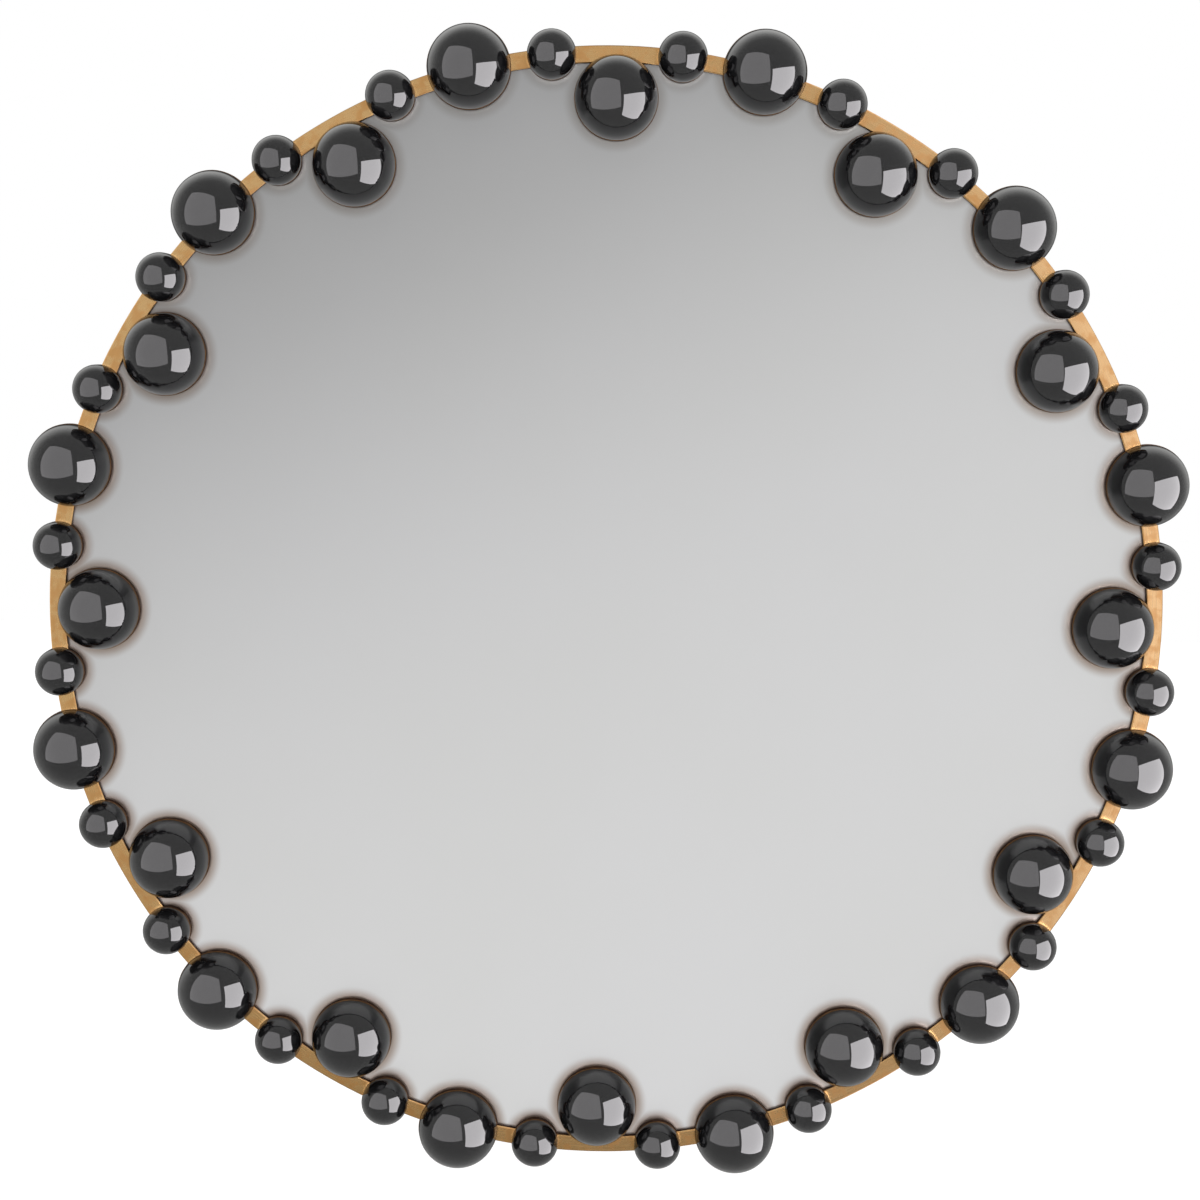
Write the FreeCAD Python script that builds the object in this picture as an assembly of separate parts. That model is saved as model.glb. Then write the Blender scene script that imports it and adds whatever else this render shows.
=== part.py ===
import FreeCAD, Part
import math
import os

# Round wall mirror: a narrow brass band carries a ring of half-round black glass balls on
# shallow brass cups. Millimetres. The origin is on the wall, behind the centre of the glass.
# +Z is up, -Y is the way the mirror faces, and y = 0 is the wall that the bumpers touch.

# Band: an L-section ring, whose lip holds the glass and whose wall takes the clip screws
band_outer_radius = 480.0
band_face_width = 14.0
band_wall_thickness = 8.0
lip_thickness = 5.0
band_edge_radius = 1.0

# Stack behind the lip
glass_thickness = 4.0
cushion_thickness = 2.0
board_thickness = 9.0
pane_edge_clearance = 1.0
glass_arris = 0.8
board_arris = 1.0

# Balls: places are insets of their centres from the outer edge of the band
big_ball_radius = 34.8
small_ball_radius = 20.6
small_ball_lift = 4.3
outer_ball_inset = 3.4
inner_ball_inset = 42.6
small_ball_inset = 5.7
beads_per_kind = 12
small_ball_turn = 6.6

# Cups: pressed brass caps that sit astride the band and carry the balls
cup_plate_thickness = 1.5
cup_skirt_thickness = 1.2
cup_rim_width = 0.4
cup_glass_gap = 0.3
cup_band_gap = 0.3

# Retaining clips and their screws
clip_count = 8
clip_width = 16.0
clip_thickness = 1.5
clip_reach = 20.0
clip_corner_radius = 3.0
clip_edge_margin = 0.5
clip_hole_radius = 1.7
clip_screw_radius = 1.45
clip_screw_length = 8.0
clip_screw_head_radius = 2.9
clip_screw_crown_radius = 2.0
clip_screw_head_height = 2.0
clip_thread_radius = 1.5
clip_thread_spare = 1.0

# Strap hangers with a swinging ring, screwed to the board
hanger_edge_inset = 131.3
hanger_turn = 42.6
strap_width = 13.0
strap_end_margin = 8.0
strap_thickness = 1.2
strap_end_radius = 4.0
eye_wall = 1.2
eye_lift = 0.3
ring_wire_radius = 1.25
ring_eye_clearance = 0.05
ring_half_width = 10.0
ring_leg = 6.0
ring_bend_radius = 2.0
hanger_screw_first = 24.0
hanger_screw_pitch = 12.0
hanger_hole_radius = 2.0
hanger_screw_radius = 1.75
hanger_screw_length = 7.0
hanger_screw_head_radius = 3.4
hanger_screw_crown_radius = 2.4
hanger_screw_head_height = 1.8
hanger_pilot_radius = 1.8
hanger_pilot_spare = 0.8

# Rubber bumpers that hold the mirror off the wall
bumper_height = 7.0
bumper_base_radius = 9.0
bumper_tip_radius = 7.0
bumper_edge_inset = 41.0
bumper_count = 4

# One overrun for all cuts
overrun = 2.0

FORWARD = FreeCAD.Vector(0, -1, 0)
BACKWARD = FreeCAD.Vector(0, 1, 0)
SIDEWAYS = FreeCAD.Vector(1, 0, 0)
CENTRE = FreeCAD.Vector(0, 0, 0)

# Depths of the stack, from the wall forwards
rear_face = -bumper_height
board_front = rear_face - board_thickness
glass_back = board_front - cushion_thickness
glass_front = glass_back - glass_thickness
band_front = glass_front - lip_thickness
cup_front = band_front - cup_plate_thickness
cup_back = glass_front - cup_glass_gap

# Radii that follow the band
sight_radius = band_outer_radius - band_face_width
rebate_radius = band_outer_radius - band_wall_thickness
pane_radius = rebate_radius - pane_edge_clearance
wall_middle_radius = (rebate_radius + band_outer_radius) / 2
outer_circle_radius = band_outer_radius - outer_ball_inset
inner_circle_radius = band_outer_radius - inner_ball_inset
small_circle_radius = band_outer_radius - small_ball_inset
bumper_circle_radius = pane_radius - bumper_edge_inset
hanger_circle_radius = pane_radius - hanger_edge_inset

# The strap runs from its eye to a margin past its lower screw
strap_length = hanger_screw_first + hanger_screw_pitch + strap_end_margin

# Radius of the flat back of a small ball, which is cut a little behind its centre
small_flat_radius = math.sqrt(small_ball_radius ** 2 - small_ball_lift ** 2)
bead_step = 360.0 / beads_per_kind


def on_circle(radius, angle, y):
    """A point at a clock angle from the top, seen from the front."""
    turn = math.radians(angle)
    return FreeCAD.Vector(radius * math.sin(turn), y, radius * math.cos(turn))


def turned_about_axis(points):
    """A solid of revolution about the mirror's axis from a section in radius and depth."""
    corners = [FreeCAD.Vector(radius, y, 0) for radius, y in points]
    section = Part.Face(Part.makePolygon(corners + corners[:1]))
    return section.revolve(CENTRE, BACKWARD, 360)


def disc(radius, front, back, centre=CENTRE):
    """A round plate between two depths."""
    base = FreeCAD.Vector(centre.x, front, centre.z)
    return Part.makeCylinder(radius, back - front, base, BACKWARD)


def annulus(inner, outer, front, back):
    """A flat ring about the mirror's axis."""
    return turned_about_axis([(inner, front), (outer, front), (outer, back), (inner, back)])


def edges_at(shape, radius, y):
    """The round edges of a given radius that lie at a given depth."""
    found = []
    for edge in shape.Edges:
        box = edge.BoundBox
        flat = box.YLength < band_edge_radius / 10
        level = abs(box.YMin - y) < band_edge_radius / 10
        if flat and level and abs(edge.Curve.Radius - radius) < band_edge_radius / 10:
            found.append(edge)
    return found


def export(node, shape):
    shape.exportStep("parts/" + node + ".step")


def frame_band():
    section = [
        (sight_radius, band_front),
        (band_outer_radius, band_front),
        (band_outer_radius, rear_face),
        (rebate_radius, rear_face),
        (rebate_radius, glass_front),
        (sight_radius, glass_front),
    ]
    band = turned_about_axis(section)
    front_edges = edges_at(band, band_outer_radius, band_front) + edges_at(band, sight_radius, band_front)
    band = band.makeFillet(band_edge_radius, front_edges)
    depth = clip_screw_length - clip_thickness + clip_thread_spare
    for angle in clip_angles():
        mouth = on_circle(wall_middle_radius, angle, rear_face + overrun)
        band = band.cut(Part.makeCylinder(clip_thread_radius, depth + overrun, mouth, FORWARD))
    return band


def mirror_glass():
    pane = disc(pane_radius, glass_front, glass_back)
    return pane.makeChamfer(glass_arris, edges_at(pane, pane_radius, glass_front))


def cushion_sheet():
    return disc(pane_radius, glass_back, board_front)


def backing_board():
    board = disc(pane_radius, board_front, rear_face)
    board = board.makeChamfer(board_arris, edges_at(board, pane_radius, rear_face))
    for side in (-1, 1):
        for place in hanger_screw_places(side):
            depth = hanger_screw_length - strap_thickness + hanger_pilot_spare
            mouth = FreeCAD.Vector(place.x, rear_face + overrun, place.z)
            board = board.cut(Part.makeCylinder(hanger_pilot_radius, depth + overrun, mouth, FORWARD))
    return board


def cup(radius, circle_radius, angle):
    """A pressed cap: a flat plate with a skirt, notched where the band passes through it."""
    centre = on_circle(circle_radius, angle, 0)
    shell = disc(radius, cup_front, cup_back, centre)
    shell = shell.cut(disc(radius - cup_skirt_thickness, band_front, cup_back + overrun, centre))
    saddle = annulus(
        sight_radius - cup_band_gap,
        band_outer_radius + cup_band_gap,
        band_front,
        cup_back + overrun,
    )
    return shell.cut(saddle)


def ball(radius, lift, circle_radius, angle):
    """A glass ball with a flat back, cut at or a little behind its centre."""
    centre = on_circle(circle_radius, angle, cup_front - lift)
    low = -math.degrees(math.asin(lift / radius))
    return Part.makeSphere(radius, centre, FORWARD, low, 90, 360)


def inner_angles():
    return [bead_step * k for k in range(beads_per_kind)]


def outer_angles():
    return [bead_step * (k + 1 / 2) for k in range(beads_per_kind)]


def clip_angles():
    step = 360.0 / clip_count
    return [step * (k + 1 / 2) for k in range(clip_count)]


def retaining_clip(angle):
    """A flat clip that lies across the joint between the band and the board."""
    outer_end = band_outer_radius - clip_edge_margin
    inner_end = rebate_radius - clip_reach
    corner = FreeCAD.Vector(-clip_width / 2, rear_face, inner_end)
    plate = Part.makeBox(clip_width, clip_thickness, outer_end - inner_end, corner)
    inner_corners = []
    for edge in plate.Edges:
        box = edge.BoundBox
        if box.YLength > clip_thickness / 2 and abs(box.ZMin - inner_end) < clip_edge_margin:
            inner_corners.append(edge)
    plate = plate.makeFillet(clip_corner_radius, inner_corners)
    hole = FreeCAD.Vector(0, rear_face - overrun, wall_middle_radius)
    plate = plate.cut(Part.makeCylinder(clip_hole_radius, clip_thickness + 2 * overrun, hole, BACKWARD))
    plate.rotate(CENTRE, BACKWARD, angle)
    return plate


def button_screw(place, seat_y, shank_radius, length, head_radius, crown_radius, head_height):
    """A screw that points forwards, with its tapered head behind the seat."""
    seat = FreeCAD.Vector(place.x, seat_y, place.z)
    shank = Part.makeCylinder(shank_radius, length, seat, FORWARD)
    return shank.fuse(Part.makeCone(head_radius, crown_radius, head_height, seat, BACKWARD))


def clip_screw(angle):
    return button_screw(
        on_circle(wall_middle_radius, angle, 0),
        rear_face + clip_thickness,
        clip_screw_radius,
        clip_screw_length,
        clip_screw_head_radius,
        clip_screw_crown_radius,
        clip_screw_head_height,
    )


def ring_pivot(side):
    y = rear_face + eye_lift + eye_wall + ring_wire_radius + ring_eye_clearance
    return on_circle(hanger_circle_radius, side * hanger_turn, y)


def hanger_screw_places(side):
    pivot = ring_pivot(side)
    drops = (hanger_screw_first, hanger_screw_first + hanger_screw_pitch)
    return [FreeCAD.Vector(pivot.x, 0, pivot.z - drop) for drop in drops]


def hanger_strap(side):
    """A steel strap whose top end is rolled into an eye for the ring's straight bar."""
    pivot = ring_pivot(side)
    eye_inner = ring_wire_radius + ring_eye_clearance
    eye_outer = eye_inner + eye_wall
    corner = FreeCAD.Vector(pivot.x - strap_width / 2, rear_face, pivot.z - strap_length)
    plate = Part.makeBox(strap_width, strap_thickness, strap_length, corner)
    low_corners = []
    for edge in plate.Edges:
        box = edge.BoundBox
        if box.YLength > strap_thickness / 2 and box.ZMax < pivot.z - strap_length / 2:
            low_corners.append(edge)
    plate = plate.makeFillet(strap_end_radius, low_corners)
    start = FreeCAD.Vector(pivot.x - strap_width / 2, pivot.y, pivot.z)
    strap = plate.fuse(Part.makeCylinder(eye_outer, strap_width, start, SIDEWAYS))
    bore_start = start - SIDEWAYS * overrun
    strap = strap.cut(Part.makeCylinder(eye_inner, strap_width + 2 * overrun, bore_start, SIDEWAYS))
    for place in hanger_screw_places(side):
        hole = FreeCAD.Vector(place.x, rear_face - overrun, place.z)
        strap = strap.cut(Part.makeCylinder(hanger_hole_radius, strap_thickness + 2 * overrun, hole, BACKWARD))
    return strap.removeSplitter()


def hanger_ring(side):
    """A D of round wire: a straight bar in the eye, two legs and a half circle below."""
    pivot = ring_pivot(side)
    half = ring_half_width
    bend = ring_bend_radius
    slant = bend * math.sqrt(1 / 2)

    def at(x, z):
        return FreeCAD.Vector(pivot.x + x, pivot.y, pivot.z + z)

    bar = Part.LineSegment(at(-half + bend, 0), at(half - bend, 0)).toShape()
    right_bend = Part.Arc(at(half - bend, 0), at(half - bend + slant, slant - bend), at(half, -bend)).toShape()
    right_leg = Part.LineSegment(at(half, -bend), at(half, -ring_leg)).toShape()
    bow = Part.Arc(at(half, -ring_leg), at(0, -ring_leg - half), at(-half, -ring_leg)).toShape()
    left_leg = Part.LineSegment(at(-half, -ring_leg), at(-half, -bend)).toShape()
    left_bend = Part.Arc(at(-half, -bend), at(bend - half - slant, slant - bend), at(bend - half, 0)).toShape()
    path = Part.Wire([bar, right_bend, right_leg, bow, left_leg, left_bend])
    section = Part.Wire(Part.makeCircle(ring_wire_radius, at(bend - half, 0), SIDEWAYS))
    return path.makePipeShell([section], True, False)


def hanger_screw(place):
    return button_screw(
        place,
        rear_face + strap_thickness,
        hanger_screw_radius,
        hanger_screw_length,
        hanger_screw_head_radius,
        hanger_screw_crown_radius,
        hanger_screw_head_height,
    )


def bumper(angle):
    base = on_circle(bumper_circle_radius, angle, rear_face)
    return Part.makeCone(bumper_base_radius, bumper_tip_radius, bumper_height, base, BACKWARD)


def clock_name(prefix, number):
    return prefix + "_" + str(number + 1).zfill(2)


os.makedirs("parts", exist_ok=True)

export("frame_band", frame_band())
export("mirror_glass", mirror_glass())
export("cushion_sheet", cushion_sheet())
export("backing_board", backing_board())
export("retaining_clips", Part.makeCompound([retaining_clip(angle) for angle in clip_angles()]))
export("clip_screws", Part.makeCompound([clip_screw(angle) for angle in clip_angles()]))

big_cup_radius = big_ball_radius + cup_rim_width
small_cup_radius = small_flat_radius + cup_rim_width
inner_cups = [cup(big_cup_radius, inner_circle_radius, angle) for angle in inner_angles()]
outer_cups = [cup(big_cup_radius, outer_circle_radius, angle) for angle in outer_angles()]
export("inner_cups", Part.makeCompound(inner_cups))
export("outer_cups", Part.makeCompound(outer_cups))
small_cups = []

for number, angle in enumerate(inner_angles()):
    export(clock_name("inner_ball", number), ball(big_ball_radius, 0, inner_circle_radius, angle))
    pair_angles = (angle - small_ball_turn, angle + small_ball_turn)
    pair = [ball(small_ball_radius, small_ball_lift, small_circle_radius, turn) for turn in pair_angles]
    export(clock_name("small_ball_pair", number), Part.makeCompound(pair))
    small_cups += [cup(small_cup_radius, small_circle_radius, turn) for turn in pair_angles]

for number, angle in enumerate(outer_angles()):
    export(clock_name("outer_ball", number), ball(big_ball_radius, 0, outer_circle_radius, angle))

export("small_cups", Part.makeCompound(small_cups))

bumper_turns = [360.0 / bumper_count * (k + 1 / 2) for k in range(bumper_count)]
export("wall_bumpers", Part.makeCompound([bumper(angle) for angle in bumper_turns]))

for side, word in ((-1, "left"), (1, "right")):
    export("hanger_strap_" + word, hanger_strap(side))
    export("hanger_ring_" + word, hanger_ring(side))
    screws = [hanger_screw(place) for place in hanger_screw_places(side)]
    export("hanger_screws_" + word, Part.makeCompound(screws))
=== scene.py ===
import math

import bmesh
import bpy
from bpy.props import FloatProperty, FloatVectorProperty, IntProperty, PointerProperty
from mathutils import Matrix, Vector


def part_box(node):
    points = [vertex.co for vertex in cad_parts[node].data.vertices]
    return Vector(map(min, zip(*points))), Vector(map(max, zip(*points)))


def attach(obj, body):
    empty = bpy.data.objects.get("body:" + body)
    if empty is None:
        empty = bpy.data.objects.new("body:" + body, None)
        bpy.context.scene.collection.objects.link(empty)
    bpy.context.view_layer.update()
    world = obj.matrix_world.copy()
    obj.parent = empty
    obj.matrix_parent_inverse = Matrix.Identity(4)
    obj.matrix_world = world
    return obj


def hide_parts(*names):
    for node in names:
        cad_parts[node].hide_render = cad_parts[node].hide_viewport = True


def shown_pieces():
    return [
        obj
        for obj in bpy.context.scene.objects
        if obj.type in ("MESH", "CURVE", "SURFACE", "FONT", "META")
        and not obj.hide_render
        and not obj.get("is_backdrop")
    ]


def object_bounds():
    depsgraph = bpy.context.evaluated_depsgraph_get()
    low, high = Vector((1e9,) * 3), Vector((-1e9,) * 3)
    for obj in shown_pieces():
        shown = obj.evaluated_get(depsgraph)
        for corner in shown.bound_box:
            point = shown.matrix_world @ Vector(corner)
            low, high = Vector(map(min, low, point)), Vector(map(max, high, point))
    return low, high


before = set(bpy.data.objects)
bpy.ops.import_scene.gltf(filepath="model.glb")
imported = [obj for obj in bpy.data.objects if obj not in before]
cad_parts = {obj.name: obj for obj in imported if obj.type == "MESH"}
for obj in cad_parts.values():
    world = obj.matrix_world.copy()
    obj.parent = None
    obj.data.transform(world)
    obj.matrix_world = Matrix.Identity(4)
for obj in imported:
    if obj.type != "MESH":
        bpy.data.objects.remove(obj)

# Round wall mirror: black glass balls on brass cups, set round a brass band. Metres, in the frame of
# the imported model: the origin is on the wall, +Z is up and the mirror faces -Y.

bl_info = {
    "name": "Ball Crown Mirror",
    "version": (1, 0, 0),
    "blender": (4, 5, 0),
    "location": "3D View > Sidebar > Mirror",
    "description": "Builds the band, pane, cups, balls, back and hangers of a round mirror, and its studio",
    "category": "Object",
}

CAD_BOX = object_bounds()
BODY = "mirror"
MM = 0.001

BAND_LOW, BAND_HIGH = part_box("frame_band")
PANE_LOW, PANE_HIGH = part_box("mirror_glass")
BOARD_LOW, BOARD_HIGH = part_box("backing_board")
CUPS_LOW, CUPS_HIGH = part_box("outer_cups")
INNER_LOW, INNER_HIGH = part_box("inner_ball_01")
OUTER_LOW, OUTER_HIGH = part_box("outer_ball_01")
SMALL_LOW, SMALL_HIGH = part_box("small_ball_pair_01")
CLIPS_LOW, CLIPS_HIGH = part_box("retaining_clips")
CLIP_SCREWS_LOW, CLIP_SCREWS_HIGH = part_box("clip_screws")
BUMPERS_LOW, BUMPERS_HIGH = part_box("wall_bumpers")

BALLS_PER_KIND = len([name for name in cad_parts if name.startswith("inner_ball_")])
BALL_STEP = math.tau / BALLS_PER_KIND
BIG_RADIUS = (INNER_HIGH.x - INNER_LOW.x) / 2
INNER_CIRCLE = INNER_HIGH.z - BIG_RADIUS
OUTER_CIRCLE = math.hypot((OUTER_LOW.x + OUTER_HIGH.x) / 2, (OUTER_LOW.z + OUTER_HIGH.z) / 2)

# How finely the meshes are cut
BAND_STEPS = 540
SHEET_STEPS = 360
BALL_STEPS, BALL_RINGS = 112, 40
CUP_STEPS, CUP_RIM_POINTS = 96, 5
SKIRT_STEP_ANGLE, SKIRT_LEAST_STEPS = math.radians(4), 8
BUMPER_STEPS = 64
SCREW_STEPS, SCREW_DOME_RINGS = 48, 8
HOLE_STEPS, CLIP_CORNER_POINTS = 40, 7
WELD = MM / 1000
SHARP_ANGLE = math.radians(35)

# Wear and crevice shares: 1 is an edge that hands brighten, 0 is plain and -1 is a crevice painted darker,
# which on the brass is painted shade
BRIGHT, PLAIN, DARK = 1.0, 0.0, -1.0
# Negative shares darken the cups' rims, plate backs and skirts with painted shade
CUP_RIM_SHADE, PLATE_BACK_SHADE, SKIRT_INSIDE_SHADE = -0.82, -0.2, -0.4
BOARD_EDGE_WEAR = 0.5
SCREW_SIDE_WEAR, SCREW_DOME_WEAR = 0.6, 0.3


# Sizes and colours that a user may change


def length_setting(name, description, default):
    return FloatProperty(name=name, description=description, default=default, unit="LENGTH")


def share_setting(name, description, default):
    return FloatProperty(name=name, description=description, default=default, min=0, max=1, subtype="FACTOR")


def angle_setting(name, description, degrees):
    return FloatProperty(name=name, description=description, default=math.radians(degrees), subtype="ANGLE")


def colour_setting(name, description, default):
    return FloatVectorProperty(name=name, description=description, default=default, subtype="COLOR")


class BandSettings(bpy.types.PropertyGroup):
    face_width: length_setting("Face width", "Width of the band seen from the front", 0.014)
    wall_thickness: length_setting("Wall", "Thickness of the band behind its lip", 0.008)
    edge_radius: length_setting("Edge radius", "Rounding of the two front edges", 0.001)
    colour: colour_setting("Brass", "Colour of clean satin brass", (0.88, 0.482, 0.184))
    tarnish: colour_setting("Tarnish", "Colour of the darker patches", (0.70, 0.36, 0.104))
    # Painted shade: the dark brown that the crevices, the cup rims and the cups' backs and skirts darken to
    crevice_shade: colour_setting("Crevice shade", "Dark brown of the crevices", (0.055, 0.02, 0.007))
    roughness: share_setting("Roughness", "Roughness of the satin finish", 0.32)


class PaneSettings(bpy.types.PropertyGroup):
    arris: length_setting("Arris", "Bevel ground on the front edge of the glass", 0.0008)
    tint: colour_setting("Silver", "Tint of the silvering", (0.865, 0.865, 0.869))
    roughness: share_setting("Softness", "How soft the reflections are", 0.3)
    # Painted shadow: the colours and reach of the dark halo painted on the silver round each cup
    halo_shadow: colour_setting("Halo shadow", "Colour of the residue round the cups", (0.30, 0.18, 0.10))
    upper_halo_shadow: colour_setting("Thin residue", "Its colour high on the pane", (0.43, 0.39, 0.345))
    halo_shadow_reach: length_setting("Residue reach", "How far the residue reaches", 0.0108)


class CupSettings(bpy.types.PropertyGroup):
    plate_thickness: length_setting("Plate", "Thickness of a cup's front plate", 0.0015)
    skirt_thickness: length_setting("Skirt", "Thickness of a cup's skirt", 0.0012)
    rim_width: length_setting("Rim", "How far a cup shows past its ball", 0.0004)
    rim_radius: length_setting("Rim rounding", "Rounding of a cup's pressed edge", 0.0003)
    band_gap: length_setting("Band gap", "Clearance of the notched skirt from the band", 0.0003)


class BallSettings(bpy.types.PropertyGroup):
    small_radius: length_setting("Small radius", "Radius of the small balls", 0.0206)
    arris: length_setting("Base arris", "Bevel ground on the flat back of a ball", 0.0003)
    ripple: length_setting("Ripple", "Depth of the slow waves that hand polishing leaves", 0.00006)
    colour: colour_setting("Glass", "Colour of the black glass", (0.002, 0.002, 0.0022))


class BackSettings(bpy.types.PropertyGroup):
    board_arris: length_setting("Board arris", "Bevel on the board's rear edge", 0.001)
    board_colour: colour_setting("Board", "Colour of the fibreboard", (0.30, 0.19, 0.105))
    clip_count: IntProperty(name="Clips", description="Retaining clips round the board", default=8, min=3)
    clip_width: length_setting("Clip width", "Width of a clip", 0.016)
    clip_reach: length_setting("Clip reach", "How far a clip reaches over the board", 0.020)
    clip_margin: length_setting("Clip margin", "From a clip to the outside of the band", 0.0005)
    clip_corner: length_setting("Clip corner", "Radius of a clip's inner corners", 0.003)
    clip_hole: length_setting("Clip hole", "Radius of a clip's hole", 0.0017)
    clip_edge: length_setting("Clip edge", "Rounding that stamping leaves on a clip", 0.0002)
    clip_screw_radius: length_setting("Clip screw", "Radius of a clip screw", 0.00145)
    clip_head_radius: length_setting("Clip screw head", "Radius of a clip screw's head", 0.0029)
    hanger_screw_radius: length_setting("Hanger screw", "Radius of a hanger screw", 0.00175)
    hanger_head_radius: length_setting("Hanger screw head", "Radius of a hanger screw's head", 0.0034)
    hanger_head_height: length_setting("Hanger head height", "Height of a hanger screw's head", 0.0018)
    strap_thickness: length_setting("Strap", "Thickness of a hanger strap", 0.0012)
    steel_colour: colour_setting("Nickel", "Colour of the nickel plating", (0.70, 0.68, 0.64))
    bumper_base: length_setting("Bumper base", "Radius of a bumper at the board", 0.009)
    bumper_tip: length_setting("Bumper tip", "Radius of a bumper at the wall", 0.007)
    rubber_colour: colour_setting("Rubber", "Colour of the bumpers", (0.035, 0.035, 0.036))


class StudioSettings(bpy.types.PropertyGroup):
    camera_place: FloatVectorProperty(
        name="Camera", description="Place of the camera", default=(-0.0093, -2.0548, 0.2492),
        subtype="XYZ", unit="LENGTH",
    )
    camera_yaw: angle_setting("Yaw", "Turn of the camera to the left", -0.1505)
    camera_pitch: angle_setting("Pitch", "Tilt of the camera upwards", -8.977)
    camera_roll: angle_setting("Roll", "Roll of the camera", 1.107)
    lens: FloatProperty(name="Lens", description="Focal length in millimetres", default=71.0)
    shift: FloatProperty(name="Shift", description="Rise of the frame, in widths of it", default=0.0833)
    floor_drop: length_setting("Floor drop", "From the lowest ball to the floor", 0.25)
    floor_radius: length_setting("Floor radius", "Radius of the floor", 6.0)


# Mesh helpers


def finished(shape, mesh):
    """Writes a bmesh to a mesh: welded, with outward normals, smooth except at its sharp edges."""
    bmesh.ops.remove_doubles(shape, verts=shape.verts, dist=WELD)
    bmesh.ops.recalc_face_normals(shape, faces=shape.faces)
    shape.to_mesh(mesh)
    shape.free()
    mesh.shade_smooth()
    mesh.set_sharp_from_angle(angle=SHARP_ANGLE)
    return mesh


def mesh_from(name, vertices, faces, wear_and_crevice_shares=None):
    """A finished mesh, with a wear and crevice share at each point."""
    mesh = bpy.data.meshes.new(name)
    mesh.from_pydata(vertices, [], faces)
    if wear_and_crevice_shares is not None:
        layer = mesh.attributes.new("wear_and_crevice_share", "FLOAT", "POINT")
        layer.data.foreach_set("value", wear_and_crevice_shares)
    shape = bmesh.new()
    shape.from_mesh(mesh)
    return finished(shape, mesh)


def linked_object(name, data):
    made = bpy.data.objects.new(name, data)
    bpy.context.scene.collection.objects.link(made)
    return made


def new_piece(name, mesh, material, node):
    """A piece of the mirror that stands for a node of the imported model."""
    piece = linked_object(name, mesh)
    mesh.materials.append(material)
    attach(piece, BODY)
    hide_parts(node)
    return piece


def shaped_piece(name, shape, material, node):
    """A piece from its vertices, faces and wear and crevice shares."""
    return new_piece(name, mesh_from(name, *shape), material, node)


def keep_flats_flat(piece):
    """Weighs normals by face area, so that a flat next to a rounded edge shades as a flat."""
    modifier = piece.modifiers.new("Flat faces", "WEIGHTED_NORMAL")
    modifier.mode = "FACE_AREA"
    modifier.keep_sharp = True


def on_circle(radius, angle, y=0.0):
    """A point at a clock angle from the top, seen from the front."""
    return Vector((radius * math.sin(angle), y, radius * math.cos(angle)))


def turned(profile, steps, start=0.0, stop=math.tau, centre=Vector(), closed=True):
    """Vertices, faces and wear and crevice shares of a profile turned about an axis along Y through a
    centre.

    The profile holds (radius, y, wear and crevice share) points. A part turn gets flat ends.
    """
    whole = math.isclose(stop - start, math.tau)
    stations = steps if whole else steps + 1
    vertices, shares, faces = [], [], []
    for station in range(stations):
        angle = start + (stop - start) * station / steps
        across, upward = math.sin(angle), math.cos(angle)
        for radius, y, share in profile:
            vertices.append((centre.x + radius * across, y, centre.z + radius * upward))
            shares.append(share)
    count = len(profile)
    spans = count if closed else count - 1
    for station in range(steps):
        here = station * count
        there = (station + 1) % stations * count
        for k in range(spans):
            after = (k + 1) % count
            faces.append((here + k, here + after, there + after, there + k))
    if not whole:
        faces.append(tuple(range(count)))
        faces.append(tuple(range(steps * count, (steps + 1) * count)))
    return vertices, faces, shares


def rounded_corner(corner, before, after, radius, points=5):
    """Points that round a corner of a profile, as (radius, y, wear and crevice share), on a circular arc."""
    tip = Vector(corner)
    to_before = (Vector(before) - tip).normalized()
    to_after = (Vector(after) - tip).normalized()
    half = to_before.angle(to_after) / 2
    middle = tip + (to_before + to_after).normalized() * radius / math.sin(half)
    first = tip + to_before * radius / math.tan(half) - middle
    last = tip + to_after * radius / math.tan(half) - middle
    arc = []
    for k in range(points):
        spoke = first.slerp(last, k / (points - 1)) * radius
        arc.append((middle.x + spoke.x, middle.y + spoke.y, BRIGHT))
    return arc


def rounded_profile(corners):
    """A profile from (radius, y, rounding) corners, or (radius, y, 0, wear and crevice share) ones."""
    profile = []
    for k, (radius, y, rounding, *wear) in enumerate(corners):
        before, after = corners[k - 1][:2], corners[(k + 1) % len(corners)][:2]
        if rounding > 0:
            profile += rounded_corner((radius, y), before, after, rounding)
        else:
            profile.append((radius, y, *(wear or [PLAIN])))
    return profile


def joined(parts):
    """Several (vertices, faces, shares) as one."""
    vertices, faces, shares = [], [], []
    for part_vertices, part_faces, part_shares in parts:
        offset = len(vertices)
        vertices += part_vertices
        shares += part_shares
        faces += [tuple(offset + index for index in face) for face in part_faces]
    return vertices, faces, shares


def copies_of(mesh, name, places):
    """One mesh of a shape set in several places."""
    shape = bmesh.new()
    for place in places:
        one = mesh.copy()
        one.transform(place)
        shape.from_mesh(one)
        bpy.data.meshes.remove(one)
    return finished(shape, bpy.data.meshes.new(name))


def evaluated_mesh(holder):
    """A mesh of an object with its modifiers or bevel applied. The object goes."""
    bpy.context.view_layer.update()
    mesh = bpy.data.meshes.new_from_object(holder.evaluated_get(bpy.context.evaluated_depsgraph_get()))
    bpy.data.objects.remove(holder)
    return mesh


# Node helpers


def add_node(tree, kind, inputs=None, **settings):
    """A node with its settings, and with its inputs set to values or linked to sockets."""
    made = tree.nodes.new(kind)
    for key, value in settings.items():
        setattr(made, key, value)
    for key, value in (inputs or {}).items():
        if isinstance(value, bpy.types.NodeSocket):
            tree.links.new(value, made.inputs[key])
        else:
            made.inputs[key].default_value = value
    return made


def maths(tree, operation, first, second=0.0, clamp=False):
    made = add_node(tree, "ShaderNodeMath", {0: first, 1: second}, operation=operation, use_clamp=clamp)
    return made.outputs[0]


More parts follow.
